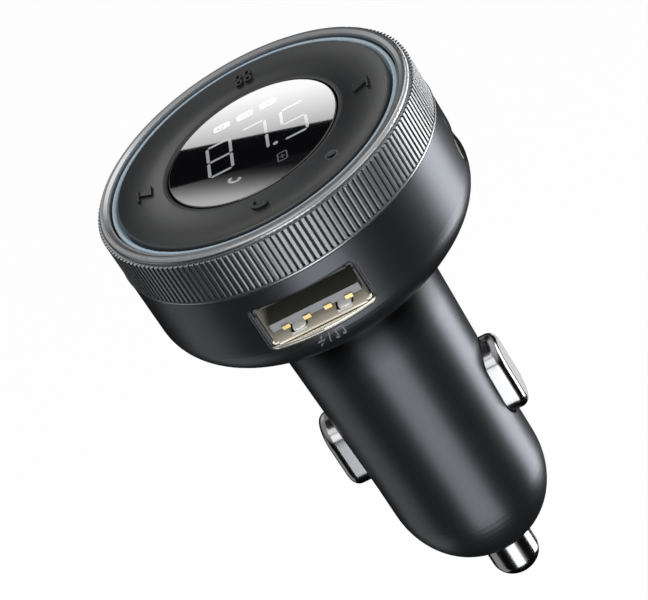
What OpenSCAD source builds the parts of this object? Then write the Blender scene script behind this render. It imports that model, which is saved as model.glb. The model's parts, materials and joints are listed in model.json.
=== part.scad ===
// Car FM transmitter: a round control head with a display, on a plug for the car's power socket.
// Z runs along the plug with the head up, +X is the next-track side and -Y the phone-key side.
// The origin is on the axis, at the middle of the cylindrical band that sits in the socket.

/* [Plug] */
// Diameter of the band that sits in the socket
plug_d = 20.9; // [20.6:0.1:21.3]
// Length of that band
band_len = 5.5; // [4.5:0.5:7]
// Diameter of the barrel where it meets the head
neck_d = 22.3; // [21.9:0.1:23]
// Length of the tapered barrel from the band to the head
neck_len = 30.7; // [29.7:0.1:36]
// Height of the rounded nose below the band
nose_h = 10.85; // [10.4:0.05:12]
// Wall of the barrel
barrel_wall = 1.45; // [1.3:0.05:1.6]
// Diameter of the spring-loaded tip
tip_d = 6.6; // [6.0:0.1:7.0]
// How far the tip stands out of the nose
tip_out = 6.9; // [6:0.1:8]
// How far the tip slides in when the plug is seated
tip_travel = 4; // [3:0.5:4]
// Width of a side contact
shoe_w = 6.5; // [6:0.1:6.8]
// Length of a side contact
shoe_len = 11.2; // [11:0.1:13]
// How far a side contact stands out of the barrel
shoe_out = 2.05; // [1.6:0.05:2.2]

/* [Head] */
// Diameter of the round housing
head_d = 42.8; // [42:0.1:45]
// Height of the housing below the knurled ring
head_h = 14.8; // [14.7:0.1:16]
// Share of the underside, from the barrel outward, that is rounded
head_round_share = 0.83; // [0.75:0.01:0.85]
// Height of the rounding under the housing
head_round_h = 6.5; // [6:0.1:6.8]
// Wall of the housing
head_wall = 1.8; // [1.6:0.1:1.9]
// Floor of the housing
head_floor = 1.55; // [1.3:0.05:1.8]

/* [Knurled ring] */
// Height of the ring's ribbed band
knurl_h = 5.85; // [5.6:0.05:7]
// Number of ribs round the band
rib_count = 172; // [120:4:172]
// Depth of the ribs
rib_depth = 0.35; // [0.2:0.05:0.4]
// Height of the polished rim above the band
rim_h = 0.75; // [0.7:0.05:1]

/* [Face] */
// Width of the light ring
light_w = 0.6; // [0.5:0.05:0.8]
// Share of the key ring's diameter that the display lens takes
lens_share = 0.618; // [0.6:0.002:0.62]
// Thickness of the display lens
lens_t = 1.2; // [1:0.1:1.5]
// Depth of the dish in the key ring
dish = 0.4; // [0.15:0.05:0.4]
// Tilt of the key ring when a key clicks, in degrees
key_tilt = 1; // [0.6:0.1:1]

/* [Ports] */
// Width of the mouth of the front port
usb_a_w = 12.5; // [12.4:0.05:12.7]
// Height of the mouth of the front port
usb_a_h = 5.12; // [5:0.02:5.2]
// Depth of the front connector
usb_a_len = 14; // [13:0.5:14.5]
// Width of the side connector's shell
usb_c_w = 8.94; // [8.8:0.02:9]
// Height of the side connector's shell
usb_c_h = 3.16; // [3.1:0.02:3.3]
// Depth of the side connector
usb_c_len = 7.35; // [6.5:0.05:8]
// Height of the front port's centre above the housing's underside
port_rise = 9.3; // [9.2:0.05:9.6]
// Turn of the side port from the +X axis, in degrees
side_port_turn = 6; // [0:1:10]

/* [Hidden] */
$fn = 96;
// Steps along a quarter of a rounding
arc_steps = 16;
// One overrun for all cuts
over = 1;
// Clearances: a piece in its seat, a sliding piece, a moving ring, a piece on its stop
fit = 0.05;
slip = 0.25;
key_gap = 0.3;
stop_gap = 0.1;

// Heights along the axis
band_top = band_len / 2;
nose_top = -band_len / 2;
nose_z = nose_top - nose_h;
head_z = band_top + neck_len;
wall_z = head_z + head_round_h;
head_top = head_z + head_h;
floor_top = head_z + head_floor;
knurl_top = head_top + knurl_h;
rim_top = knurl_top + rim_h;

// Barrel: nose_flat and nose_flat_in are where the outer and inner roundings would end
plug_r = plug_d / 2;
neck_r = neck_d / 2;
bore_r = plug_r - barrel_wall;
nose_flat = 2.2;
nose_flat_in = 2.2;
nose_end_wall = 2.4;
nose_seat_z = nose_z + nose_end_wall;
spigot_step = 0.55;
spigot_r = neck_r - spigot_step;
spigot_wall = 1.5;
bore_top_r = spigot_r - spigot_wall;
clip_h = 1.2;
clip_lip = 0.4;
spigot_top = floor_top + clip_h + clip_lip;
merge = 0.3;

// Boards
pcb_t = 1.2;
board_groove = 1;
rail_depth = 2;
rail_w = 3.4;
rail_foot = 1.8;
groove_play = 0.1;
board_gap = 0.3;

// Side contacts, just above the band
slot_rise = 0.2;
shoe_edge = 1.2;
shoe_flange = 0.8;
land_t = 1.1;
land_side = 0.8;
land_end = 1.6;
slot_w = shoe_w + 2 * slip;
slot_len = shoe_len + 2 * slip;
shoe_z = band_top + slot_rise + slot_len / 2;
land_x = bore_r - land_t;
flange_x = land_x - stop_gap - shoe_flange;
shoe_r = plug_r + (neck_r - plug_r) * (shoe_z - band_top) / neck_len + shoe_out;
shoe_wire = 0.45;
shoe_coil_r = 2;
shoe_curls = 5;

// Tip, its spring and the cup under the power board
tip_r = tip_d / 2;
tip_gap = 0.3;
tip_edge = 2.5;
tip_flange = 1.3;
tip_flange_t = 1;
tip_stem_r = 1.6;
tip_stem_h = 1.6;
tip_wire = 0.5;
tip_coil_r = 2.7;
tip_curls = 4;
tip_hole_r = tip_r + tip_gap;
tip_spring_z = nose_seat_z + tip_flange_t;
tip_spring_rest = 3;
cup_z = tip_spring_z + tip_travel + tip_spring_rest;
cup_r = 3.7;
cup_t = 1;
cup_rim = 0.5;
cup_rim_h = 0.5;
board_z = cup_z + cup_t;

// Head housing
head_r = head_d / 2;
head_round_w = head_round_share * (head_r - neck_r);
in_round_w = head_round_w - head_wall;
head_in_r = head_r - head_wall;
upstand_t = 0.7;
upstand_h = 3.35;
upstand_r = head_in_r + upstand_t;
ledge_w = 0.8;
ledge_t = 1.5;
port_z = head_z + port_rise;
usb_wall = 0.3;
main_top = port_z - usb_a_h / 2 - usb_wall;
main_z = main_top - pcb_t;
power_half = bore_r - board_groove - groove_play;
power_top = main_z - board_gap;
main_gap = 0.7;
main_r = head_in_r - main_gap;
clip_r = head_in_r - in_round_w - fit;
post_r = 1.6;
post_gap = 0.55;
post_place_r = clip_r + post_gap + post_r;
post_port_gap = 0.4;

// Stack under the face
ctrl_rise = 0.65;
ctrl_t = 1;
ctrl_z = head_top + ctrl_rise;
ctrl_top = ctrl_z + ctrl_t;
ctrl_r = head_in_r - slip;
foot_h = 1.1;
frame_t = 0.7;
frame_z = ctrl_top + foot_h;
frame_top = frame_z + frame_t;
ring_in_step = 0.05;
ring_in_r = head_in_r - ring_in_step;
light_gap = 0.2;
light_r = ring_in_r - light_gap;
light_in_r = light_r - light_w;
light_sink = 0.4;
light_top = rim_top - light_sink;
light_flange_w = 0.85;
light_flange_t = 0.4;
led_h = 0.6;
led_w = 1;
led_t = 0.5;
led_gap = 0.2;
led_count = 12;
key_r = light_in_r - key_gap;
key_sink = 0.15;
key_top = rim_top - key_sink;
key_wall = 1;
key_skirt_w = 0.7;
key_edge = 0.35;
key_in_edge = 0.2;
lens_r = lens_share * key_r;
lens_sink = 0.2;
lens_top = key_top - lens_sink;
lens_z = lens_top - lens_t;
lens_edge = 0.1;
lens_gap = 0.2;
key_in_r = lens_r + lens_gap;
key_w = key_r - key_in_r;
collar_t = 0.7;
frame_r = light_in_r - groove_play;

// Key presses, screws and microphone under the key ring
press_share = 0.363;
press_place_r = key_r - press_share * key_w;
press_r = 0.9;
press_turns = [0, 90, 180, 270];
window_gap = 0.7;
dome_r = 2.2;
dome_h = 0.35;
dome_flat_r = 0.8;
screw_share = 0.365;
screw_place_r = key_r - screw_share * key_w;
screw_turns = [-35, 50, 145, 222];
screw_r = 0.8;
screw_head_r = 1.4;
screw_head_h = 0.8;
screw_long = 7.2;
screw_short = 3.6;
screw_slot_w = 0.4;
post_turns = [side_port_turn + asin((usb_c_w / 2 + screw_head_r + post_port_gap) / post_place_r), 85, 205];
screw_slot_h = 0.35;
foot_r = 1.75;
boss_r = 2.4;
boss_lift = 0.25;
boss_z = wall_z + boss_lift;
web_w = 2;
mic_share = 0.415;
mic_place_r = key_in_r + mic_share * key_w;
mic_turn = -49;
mic_r = 2;
mic_h = 1.5;
mic_hole_r = 0.7;

// The skirts of the tilted key ring just clear the screw heads
key_z = frame_top + screw_head_h + stop_gap + key_r * sin(key_tilt * sqrt(2));

// Gimbal spring: its ring, its tabs and what they bear on
gimbal_t = 0.25;
gimbal_rise = 0.75;
gimbal_z = frame_top + gimbal_rise;
gimbal_in_share = 0.18;
gimbal_w_share = 0.12;
gimbal_in = gimbal_in_share * key_w;
gimbal_w = gimbal_w_share * key_w;
gimbal_in_r = key_in_r + gimbal_in;
gimbal_r = gimbal_in_r + gimbal_w;
tab_w = 1.8;
tab_in = gimbal_in - fit;
tab_out_share = 0.163;
tab_out = tab_out_share * key_w;
bear_w = 0.9;
bear_gap = 0.05;
pin_share = 0.089;
pin_in = pin_share * key_w;

// Front port and its connector, measured along the port's own radius
port_gap = 0.1;
port_corner = 0.5;
port_step = 0.3;
port_step_h = 0.3;
usb_a_in = 1.45;
usb_a_front = head_r - usb_a_in;
usb_a_back = usb_a_front - usb_a_len;
lip_run = 0.4;
lip_rise = 0.3;
lip_t = 0.25;
lip_corner = 0.5;
tongue_a_gap = 0.4;
tongue_a_w = usb_a_w - 2 * tongue_a_gap;
tongue_a_t_share = 0.215;
tongue_a_drop_share = 0.05;
tongue_a_t = tongue_a_t_share * usb_a_h;
tongue_a_low = tongue_a_t + tongue_a_drop_share * usb_a_h;
tongue_a_in = 0.3;
tongue_a_base = 4.5;
pin_a_w = 1;
pin_a_t = 0.22;
pin_a_lap = 0.35;
pin_a_long = 7.4;
pin_a_shares = [-0.33, -0.11, 0.11, 0.33];
latch_w = 2.3;
latch_len = 4.6;
latch_cut = 0.3;
latch_corner = 0.6;
latch_share = 0.24;
latch_in = 0.35;

// Side port and its connector
usb_c_wall = 0.3;
usb_c_front = head_r - 0.55;
usb_c_back = usb_c_front - usb_c_len;
usb_c_z = main_top + usb_c_h / 2;
tongue_c_gap = 0.83;
tongue_c_w = usb_c_w - 2 * (usb_c_wall + tongue_c_gap);
tongue_c_t = 0.7;
tongue_c_in = 1.2;
tongue_c_base = 2.2;
pin_c_w = 0.25;
pin_c_t = 0.08;
pin_c_pitch = 0.5;
pin_c_count = 12;
pin_c_long = 3.2;
pin_c_in = 0.3;

// Components
header_pitch = 2.54;
header_rows = 2;
header_cols = 4;
header_pin = 0.64;
header_base = 2.5;
header_gap = 1.35;
header_y = post_place_r - screw_head_r - header_gap - header_rows * header_pitch / 2;
radio_size_share = 0.36;
radio_t = 0.9;
radio_place_shares = [-0.6, 0.13];
chip_w_share = 0.26;
chip_l_share = 0.21;
chip_t = 1.2;
chip_place_shares = [[-0.12, 0.06], [0.2, 0.06]];
radio_size = radio_size_share * main_r;
chip_w = chip_w_share * main_r;
chip_l = chip_l_share * main_r;
plug_w = 8;
plug_t = 2.5;
plug_h = 4.2;
inductor_size = 7;
inductor_t = 4;
inductor_core_r = 2.6;
inductor_drop = 14.4;
cap_r = 3.1;
cap_h = 6;
cap_drop = 7.4;
cap_small_r = 2.5;
cap_small_h = 5.4;
cap_small_drop = 5.2;
cap_crimp = 0.3;
cap_crimp_h = 1;
regulator_w = 6;
regulator_h = 5;
regulator_t = 1.6;
regulator_drop = 13;

// Points of part of an ellipse about (x, y), from angle a0 to angle a1
function ellipse_arc(x, y, rx, ry, a0, a1) =
    [for (i = [0:arc_steps]) let (a = a0 + (a1 - a0) * i / arc_steps) [x + rx * cos(a), y + ry * sin(a)]];

// Points along a coil about the Z axis, eight to a curl
coil_rings = 8;
function coil_points(r, length, curls) =
    [for (i = [0:curls * coil_rings]) let (a = 360 * i / coil_rings)
        [r * cos(a), r * sin(a), length * i / (curls * coil_rings)]];

// Least gap between curls, measured between points at least half a curl apart
function coil_gap(points, wire) =
    min([for (i = [0:len(points) - 1]) for (j = [i + coil_rings / 2 + 1:1:len(points) - 1])
        norm(points[i] - points[j])]) - wire;

// One unbroken coil of round wire between two heights
module coil(r, wire, z0, z1, curls) {
    sides = 6;
    points = coil_points(r, z1 - z0 - wire - 2 * fit, curls);
    last = len(points) - 1;
    echo(coil_gap = coil_gap(points, wire));
    rings = [for (i = [0:last])
        let (
            p = points[i],
            out = [p[0], p[1], 0] / r,
            ahead = points[min(i + 1, last)] - points[max(i - 1, 0)],
            side = cross(ahead / norm(ahead), out)
        )
        for (k = [0:sides - 1])
            p + wire / 2 * (cos(360 * k / sides) * out + sin(360 * k / sides) * side)];
    walls = [for (i = [0:last - 1]) for (k = [0:sides - 1])
        let (a = i * sides + k, b = i * sides + (k + 1) % sides)
        each [[a, b, a + sides], [b, b + sides, a + sides]]];
    caps = [for (k = [1:sides - 2])
        each [[0, k + 1, k], [last * sides, last * sides + k, last * sides + k + 1]]];
    translate([0, 0, z0 + wire / 2 + fit]) polyhedron(rings, concat(walls, caps));
}

// Stands children on a radius: their Z runs outward, their Y up, their X across
module facing(turn) {
    rotate([0, 0, turn]) rotate([90, 0, 90]) children();
}

// Puts children at a radius and an angle about the axis
module around(r, turn) {
    rotate([0, 0, turn]) translate([r, 0, 0]) children();
}

module tube(r_out, r_in, z0, z1) {
    translate([0, 0, z0]) difference() {
        cylinder(r = r_out, h = z1 - z0);
        translate([0, 0, -over]) cylinder(r = r_in, h = z1 - z0 + 2 * over);
    }
}

module rounded_rect(w, h, r) {
    square([w - 2 * r, h], center = true);
    square([w, h - 2 * r], center = true);
    for (x = [-1, 1]) for (y = [-1, 1])
        translate([x * (w / 2 - r), y * (h / 2 - r)]) circle(r = r);
}

// A slot shape, long along X
module stadium(w, h) {
    square([w - h, h], center = true);
    for (x = [-1, 1]) translate([x * (w - h) / 2, 0]) circle(r = h / 2);
}

module barrel_bore() {
    drop = nose_top - nose_seat_z;
    ry = nose_h - barrel_wall;
    rotate_extrude() polygon(concat(
        [[0, spigot_top + over], [bore_top_r, spigot_top + over], [bore_top_r, head_z]],
        ellipse_arc(nose_flat_in, nose_top, bore_r - nose_flat_in, ry, 0, -asin(drop / ry)),
        [[0, nose_seat_z]]
    ));
}

module board_rails() {
    rail_in = bore_r - rail_depth;
    for (turn = [90, 270]) rotate([0, 0, turn]) difference() {
        translate([rail_in, -rail_w / 2, board_z - rail_foot])
            cube([rail_depth + merge, rail_w, head_z - board_z + rail_foot]);
        translate([rail_in - over, -pcb_t / 2 - groove_play, board_z])
            cube([over + rail_depth - board_groove, pcb_t + 2 * groove_play, head_z - board_z + over]);
    }
}

module barrel_shell() color([0.17, 0.175, 0.19]) {
    nose_end = -acos((tip_hole_r - nose_flat) / (plug_r - nose_flat));
    lands = land_side * 2 + slot_w;
    difference() {
        union() {
            difference() {
                rotate_extrude() polygon(concat(
                    [[0, spigot_top], [spigot_r, spigot_top], [spigot_r, head_z], [neck_r, head_z],
                        [plug_r, band_top]],
                    ellipse_arc(nose_flat, nose_top, plug_r - nose_flat, nose_h, 0, nose_end),
                    [[0, nose_top + nose_h * sin(nose_end)]]
                ));
                barrel_bore();
            }
            board_rails();
            for (turn = [0, 180]) facing(turn) translate([0, shoe_z, land_x]) linear_extrude(land_t + merge)
                square([lands, slot_len + 2 * land_end], center = true);
        }
        for (turn = [0, 180]) facing(turn) translate([0, shoe_z, land_x - over])
            linear_extrude(neck_r) rotate([0, 0, 90]) stadium(slot_len, slot_w);
        translate([0, 0, nose_z - over]) cylinder(r = tip_hole_r, h = nose_end_wall + 2 * over);
        // Room for the tip's flange, the side contacts' flanges and the power board
        translate([0, 0, nose_seat_z]) cylinder(r = tip_r + tip_flange + slip, h = tip_flange_t + tip_travel);
        for (turn = [0, 180]) facing(turn) translate([0, shoe_z, flange_x - fit])
            linear_extrude(land_x - flange_x + fit) rotate([0, 0, 90])
                stadium(shoe_len + 2 * (shoe_flange + fit), shoe_w + 2 * (shoe_flange + fit));
        translate([-pcb_t / 2 - groove_play, -power_half - groove_play, board_z])
            cube([pcb_t + 2 * groove_play, 2 * (power_half + groove_play), power_top - board_z]);
    }
}

module barrel_clip() color([0.55, 0.56, 0.58]) {
    tube(clip_r, spigot_r + fit, floor_top, floor_top + clip_h);
}

module head_body() {
    rotate_extrude() polygon(concat(
        [[spigot_r + fit, head_z]],
        ellipse_arc(head_r - head_round_w, wall_z, head_round_w, head_round_h, -90, 0),
        [[head_r, head_top], [upstand_r, head_top], [upstand_r, head_top + upstand_h],
            [head_in_r, head_top + upstand_h], [head_in_r, ctrl_z], [head_in_r - ledge_w, ctrl_z],
            [head_in_r - ledge_w, ctrl_z - ledge_t], [head_in_r, ctrl_z - ledge_t - ledge_w]],
        ellipse_arc(head_in_r - in_round_w, wall_z, in_round_w, wall_z - floor_top, 0, -90),
        [[spigot_r + fit, floor_top]]
    ));
}

// A port's opening through the wall, with a shallow step round its edge
module port_cut() {
    translate([0, 0, head_in_r / 2]) linear_extrude(head_r) children(0);
}

module head_housing() color([0.17, 0.175, 0.19]) difference() {
    union() {
        head_body();
        for (turn = screw_turns) rotate([0, 0, turn]) {
            translate([screw_place_r, 0, boss_z]) cylinder(r = boss_r, h = ctrl_z - boss_z);
            translate([screw_place_r, -web_w / 2, boss_z])
                cube([head_in_r + merge - screw_place_r, web_w, ctrl_z - boss_z]);
        }
        for (turn = post_turns) around(post_place_r, turn)
            translate([0, 0, floor_top - merge]) cylinder(r = post_r, h = main_z - floor_top + merge);
    }
    for (turn = screw_turns) around(screw_place_r, turn) translate([0, 0, frame_top - screw_long - merge])
        cylinder(r = screw_r + fit, h = screw_long);
    for (turn = post_turns) around(post_place_r, turn) translate([0, 0, main_top - screw_short - merge])
        cylinder(r = screw_r + fit, h = screw_short);
    facing(-90) translate([0, port_z, 0]) {
        front_w = usb_a_w + 2 * (lip_rise + port_gap);
        front_h = usb_a_h + 2 * (lip_rise + port_gap);
        port_cut() rounded_rect(front_w, front_h, port_corner);
    }
    facing(side_port_turn) translate([0, usb_c_z, 0])
        port_cut() stadium(usb_c_w + 2 * port_gap, usb_c_h + 2 * port_gap);
    for (port = [[-90, port_z, usb_a_w, usb_a_h, lip_rise], [side_port_turn, usb_c_z, usb_c_w, usb_c_h, 0]])
        difference() {
            facing(port[0]) translate([0, port[1], 0]) {
                w = port[2] + 2 * (port[4] + port_gap + port_step);
                h = port[3] + 2 * (port[4] + port_gap + port_step);
                port_cut() rounded_rect(w, h, port[4] > 0 ? port_corner + port_step : h / 2 - fit);
            }
            translate([0, 0, head_z]) cylinder(r = head_r - port_step_h, h = head_h);
        }
}

// Outline of the ribbed band: one rib is a crown, a valley and two flanks
rib_crown_share = 0.46;
rib_flank_share = 0.19;
module rib_outline(tip, root) {
    pitch = 360 / rib_count;
    half = rib_crown_share / 2;
    foot = half + rib_flank_share;
    polygon([for (i = [0:rib_count - 1]) for (q = [[-foot, root], [-half, tip], [half, tip], [foot, root]])
        q[1] * [cos((i + q[0]) * pitch), sin((i + q[0]) * pitch)]]);
}

lip_out = 0.1;
lip_h = 0.3;
lip_cut = 0.1;
rim_step = 0.55;
rim_groove = 0.35;
rim_groove_h = 0.2;
rim_round = 0.45;
rim_slope_w = 0.7;
rim_slope_h = 0.4;
module knurled_ring() color([0.42, 0.43, 0.45]) {
    lip_r = head_r + lip_out;
    rim_r = lip_r - rim_step;
    rib_r = lip_r - lip_cut;
    groove_r = rim_r - rim_groove;
    seat_r = upstand_r + fit;
    step_z = head_top + upstand_h + fit;
    rim_z = knurl_top + rim_groove_h;
    // The lip under the ribs and the sleeve behind them
    rotate_extrude() polygon([[seat_r, head_top], [lip_r - lip_cut, head_top], [lip_r, head_top + lip_cut],
        [lip_r, head_top + lip_h], [seat_r, head_top + lip_h]]);
    translate([0, 0, head_top + lip_h]) linear_extrude(knurl_h - lip_h) difference() {
        rib_outline(rib_r, rib_r - rib_depth);
        circle(r = seat_r);
    }
    // The web over the upstand, the groove and the polished rim, which slopes in to the light ring
    rotate_extrude() {
        polygon([[ring_in_r, step_z], [seat_r + merge, step_z], [seat_r + merge, knurl_top],
            [groove_r, knurl_top], [groove_r, rim_z + merge], [ring_in_r, rim_z + merge]]);
        polygon([[ring_in_r, rim_z], [rim_r, rim_z], [rim_r, rim_top - rim_round],
            [rim_r - rim_round, rim_top], [ring_in_r + rim_slope_w, rim_top],
            [ring_in_r, rim_top - rim_slope_h]]);
        translate([rim_r - rim_round, rim_top - rim_round]) circle(r = rim_round);
    }
}

module light_ring() color([0.72, 0.86, 0.95]) {
    base_z = ctrl_top + led_h + led_gap;
    rotate_extrude() {
        translate([light_in_r, base_z]) square([light_w, light_top - light_w / 2 - base_z]);
        translate([light_in_r - light_flange_w, frame_top])
            square([light_flange_w + light_w / 2, light_flange_t]);
        translate([light_in_r + light_w / 2, light_top - light_w / 2]) circle(r = light_w / 2);
    }
}

module face_frame() color([0.09, 0.09, 0.1]) difference() {
    union() {
        tube(frame_r, lens_r - collar_t, frame_z, frame_top);
        tube(lens_r, lens_r - collar_t, ctrl_top, lens_z);
        for (turn = screw_turns) around(screw_place_r, turn)
            translate([0, 0, ctrl_top]) cylinder(r = foot_r, h = foot_h + frame_t / 2);
        for (turn = [90, 270]) rotate([0, 0, turn])
            translate([lens_r - collar_t / 2, -bear_w / 2, frame_top - merge])
                cube([collar_t / 2 + lens_gap + gimbal_in, bear_w,
                    gimbal_rise - gimbal_t / 2 - bear_gap + merge]);
    }
    for (turn = screw_turns) around(screw_place_r, turn)
        translate([0, 0, ctrl_z]) cylinder(r = screw_r + groove_play, h = frame_top - ctrl_z + over);
    for (turn = press_turns) around(press_place_r, turn)
        translate([0, 0, ctrl_z]) cylinder(r = press_r + window_gap, h = frame_top - ctrl_z + over);
    around(mic_place_r, mic_turn)
        translate([0, 0, ctrl_z]) cylinder(r = mic_r + slip, h = frame_top - ctrl_z + over);
}

module display_lens() color([0.03, 0.03, 0.035]) rotate_extrude()
    polygon([[0, lens_z], [lens_r, lens_z], [lens_r, lens_top - lens_edge],
        [lens_r - lens_edge, lens_top], [0, lens_top]]);

module display_module() color([0.12, 0.13, 0.15]) {
    module_r = lens_r - collar_t - stop_gap;
    translate([0, 0, ctrl_top]) cylinder(r = module_r, h = lens_z - ctrl_top - stop_gap);
}

module control_board() color([0.03, 0.045, 0.04]) translate([0, 0, ctrl_z]) difference() {
    cylinder(r = ctrl_r, h = ctrl_t);
    for (turn = screw_turns) around(screw_place_r, turn)
        translate([0, 0, -over]) cylinder(r = screw_r + groove_play, h = ctrl_t + 2 * over);
}

// Snap domes on the control board, one under each key
module key_domes() color([0.8, 0.8, 0.78]) for (turn = press_turns) around(press_place_r, turn)
    translate([0, 0, ctrl_top]) cylinder(r1 = dome_r, r2 = dome_flat_r, h = dome_h);

module microphone() color([0.75, 0.76, 0.78]) around(mic_place_r, mic_turn)
    translate([0, 0, ctrl_top]) cylinder(r = mic_r, h = mic_h);

module ring_leds() color([0.95, 0.95, 0.85]) for (i = [0:led_count - 1])
    around(light_in_r + light_w / 2, (i + 1 / 2) * 360 / led_count)
        translate([-led_t / 2, -led_w / 2, ctrl_top]) cube([led_t, led_w, led_h]);

// A slotted screw whose head rests at the height z
module screw(z, length) translate([0, 0, z]) difference() {
    union() {
        cylinder(r = screw_head_r, h = screw_head_h);
        translate([0, 0, -length]) cylinder(r = screw_r, h = length + screw_head_h / 2);
    }
    translate([-screw_head_r - over, -screw_slot_w / 2, screw_head_h - screw_slot_h])
        cube([2 * (screw_head_r + over), screw_slot_w, screw_slot_h + over]);
}

module face_screws() color([0.6, 0.6, 0.62]) for (turn = screw_turns) around(screw_place_r, turn)
    screw(frame_top, screw_long - merge);

module board_screws() color([0.6, 0.6, 0.62]) for (turn = post_turns) around(post_place_r, turn)
    screw(main_top, screw_short - merge);

// Stamped gimbal spring: it tilts on the frame along Y and carries the key ring along X
module key_spring() color([0.78, 0.74, 0.6]) translate([0, 0, gimbal_z - gimbal_t / 2])
    linear_extrude(gimbal_t) {
        difference() {
            circle(r = gimbal_r);
            circle(r = gimbal_in_r);
        }
        for (turn = [90, 270]) rotate([0, 0, turn])
            translate([gimbal_in_r - tab_in, -tab_w / 2]) square([tab_in + gimbal_w / 2, tab_w]);
        for (turn = [0, 180]) rotate([0, 0, turn])
            translate([gimbal_r - gimbal_w / 2, -tab_w / 2]) square([tab_out + gimbal_w / 2, tab_w]);
    }

// Ring with a dished top, pressed at four places over the domes
module key_ring() color([0.13, 0.135, 0.145]) {
    under = key_top - key_wall;
    dish_z = key_top - lens_sink;
    span = key_w - key_edge - key_in_edge;
    dish_r = (pow(span / 2, 2) + pow(dish, 2)) / (2 * dish);
    press_z = ctrl_top + dome_h + stop_gap;
    bear_z = gimbal_z + gimbal_t / 2 + bear_gap;
    difference() {
        union() {
            rotate_extrude() difference() {
                union() {
                    polygon([[key_in_r, under], [key_r, under], [key_r, key_top - key_edge],
                        [key_r - key_edge, key_top], [key_in_r + key_in_edge, dish_z],
                        [key_in_r, dish_z - key_in_edge]]);
                    translate([key_r - key_edge, key_top - key_edge]) circle(r = key_edge);
                    translate([key_in_r + key_in_edge, dish_z - key_in_edge]) circle(r = key_in_edge);
                    translate([key_in_r, key_z]) square([key_skirt_w, key_wall]);
                    translate([key_r - key_skirt_w, key_z]) square([key_skirt_w, key_wall]);
                }
                translate([key_in_r + key_in_edge + span / 2, (key_top + dish_z) / 2 - dish + dish_r])
                    circle(r = dish_r, $fn = 720);
            }
            for (turn = press_turns) around(press_place_r, turn)
                translate([0, 0, press_z]) cylinder(r = press_r, h = under - press_z + merge);
            for (turn = [0, 180]) around(gimbal_r + pin_in, turn)
                translate([0, 0, bear_z]) cylinder(r = bear_w / 2, h = under - bear_z + merge);
        }
        around(mic_place_r, mic_turn) translate([0, 0, key_z]) cylinder(r = mic_hole_r, h = key_top - key_z);
    }
}

module main_board() color([0.03, 0.045, 0.04]) translate([0, 0, main_z]) linear_extrude(pcb_t) difference() {
    circle(r = main_r);
    for (turn = screw_turns) rotate([0, 0, turn]) {
        translate([screw_place_r, 0]) circle(r = boss_r + slip);
        translate([screw_place_r, -boss_r - slip]) square([main_r, 2 * (boss_r + slip)]);
    }
    for (turn = post_turns) around(post_place_r, turn) circle(r = screw_r + groove_play);
}

module radio_chip() color([0.08, 0.08, 0.09]) {
    place = radio_place_shares * main_r;
    translate([place[0] - radio_size / 2, place[1] - radio_size / 2, main_top])
        cube([radio_size, radio_size, radio_t]);
}

module power_chips() color([0.08, 0.08, 0.09]) for (place = chip_place_shares * main_r)
    translate([place[0] - chip_w / 2, place[1] - chip_l / 2, main_top]) cube([chip_w, chip_l, chip_t]);

// Pin header that joins the main board to the control board
module stack_header() color([0.07, 0.07, 0.08]) {
    w = header_cols * header_pitch;
    d = header_rows * header_pitch;
    translate([-w / 2, header_y - d / 2, main_top]) cube([w, d, header_base]);
    translate([-w / 2, header_y - d / 2, ctrl_z - header_base]) cube([w, d, header_base]);
    for (i = [0:header_cols - 1]) for (j = [0:header_rows - 1])
        translate([(i + 1 / 2) * header_pitch - w / 2 - header_pin / 2,
                (j + 1 / 2) * header_pitch - d / 2 + header_y - header_pin / 2, main_top + header_base / 2])
            cube([header_pin, header_pin, ctrl_z - main_top - header_base]);
}

// Cut round three sides of a spring latch in the shell's wall, in the wall's plane
module latch_cut_outline() difference() {
    rounded_rect(latch_w, latch_len, latch_corner);
    translate([0, -latch_cut - latch_corner])
        rounded_rect(latch_w - 2 * latch_cut, latch_len + 2 * latch_corner, latch_corner);
}

// Folded steel shell with flared lips and two spring latches in its floor and roof
module usb_front_shell() color([0.8, 0.81, 0.83]) facing(-90) translate([0, port_z, 0]) {
    w = usb_a_w + 2 * usb_wall;
    h = usb_a_h + 2 * usb_wall;
    difference() {
        translate([0, 0, usb_a_back]) linear_extrude(usb_a_len) rounded_rect(w, h, port_corner);
        translate([0, 0, usb_a_back + usb_wall]) linear_extrude(usb_a_len)
            square([usb_a_w, usb_a_h], center = true);
        for (x = [-1, 1]) translate([x * latch_share * usb_a_w, h, usb_a_front - latch_in - latch_len / 2])
            rotate([90, 0, 0]) linear_extrude(2 * h) latch_cut_outline();
    }
    for (turn = [0, 90, 180, 270]) {
        half = (turn % 180 == 0 ? usb_a_h : usb_a_w) / 2;
        run = (turn % 180 == 0 ? usb_a_w : usb_a_h) - 2 * lip_corner;
        rotate([0, 0, turn]) translate([run / 2, 0, usb_a_front]) rotate([0, -90, 0]) linear_extrude(run)
            polygon([[-merge, half], [0, half], [lip_run, half + lip_rise - lip_t],
                [lip_run, half + lip_rise], [0, half + usb_wall], [-merge, half + usb_wall]]);
    }
}

module usb_front_tongue() color([0.22, 0.225, 0.235]) facing(-90) translate([0, port_z, 0]) {
    back = usb_a_back + usb_wall;
    translate([-usb_a_w / 2 + fit, -usb_a_h / 2 + fit, back])
        cube([usb_a_w - 2 * fit, usb_a_h - 2 * fit, tongue_a_base]);
    translate([-tongue_a_w / 2, -tongue_a_low, back])
        cube([tongue_a_w, tongue_a_t, usb_a_front - tongue_a_in - back]);
}

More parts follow.
